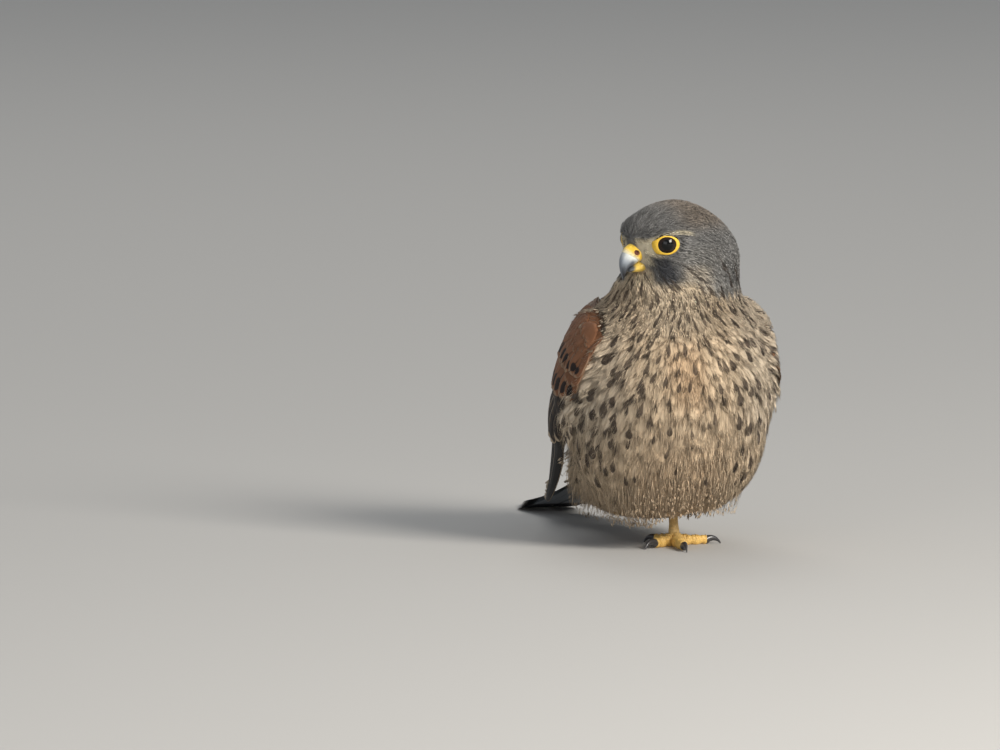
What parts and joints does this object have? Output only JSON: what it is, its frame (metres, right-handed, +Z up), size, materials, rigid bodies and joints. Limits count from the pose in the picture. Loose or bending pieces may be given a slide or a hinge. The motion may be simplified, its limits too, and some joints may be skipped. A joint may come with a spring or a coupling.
{
  "type": "common kestrel",
  "caption": "Life-size still model of an adult male kestrel, fluffed out and resting on its left foot, head turned over the right shoulder, wings folded and tail laid back on the floor.",
  "frame": {"origin": "on the floor, under the middle of the bird's bounding box", "axes": "+Z up, the breast faces -Y, the tail points to +Y and the bird's left side is +X"},
  "size_m": [0.1152, 0.249, 0.1749],
  "materials": {
    "buff_coat": "soft buff body feathers with dark brown streaks and spots",
    "grey_coat": "fine blue-grey head feathers with dark shaft streaks",
    "chestnut_coat": "chestnut wing feathers with black spots and pale fringes, dark brown flight feathers",
    "tail_grey": "blue-grey tail feathers with a black band and a white tip",
    "eye": "wet dark brown eye",
    "horn": "smooth blue-grey horn, darker at the tip",
    "yellow_skin": "scaled yellow skin of cere, lids and feet",
    "claw": "smooth black claw"
  },
  "bodies": {
    "root": {"torso": "buff_coat", "neck": "buff_coat", "head": "grey_coat", "eye_left": "eye", "eye_right": "eye", "bill_upper": "horn", "cere": "yellow_skin", "bill_lower": "horn", "wing_right": "chestnut_coat", "wing_left": "chestnut_coat", "tail": "tail_grey", "foot_left": "yellow_skin", "claw_left_inner": "claw", "claw_left_middle": "claw", "claw_left_outer": "claw", "claw_left_hind": "claw", "foot_right": "yellow_skin"}
  },
  "joints": []
}
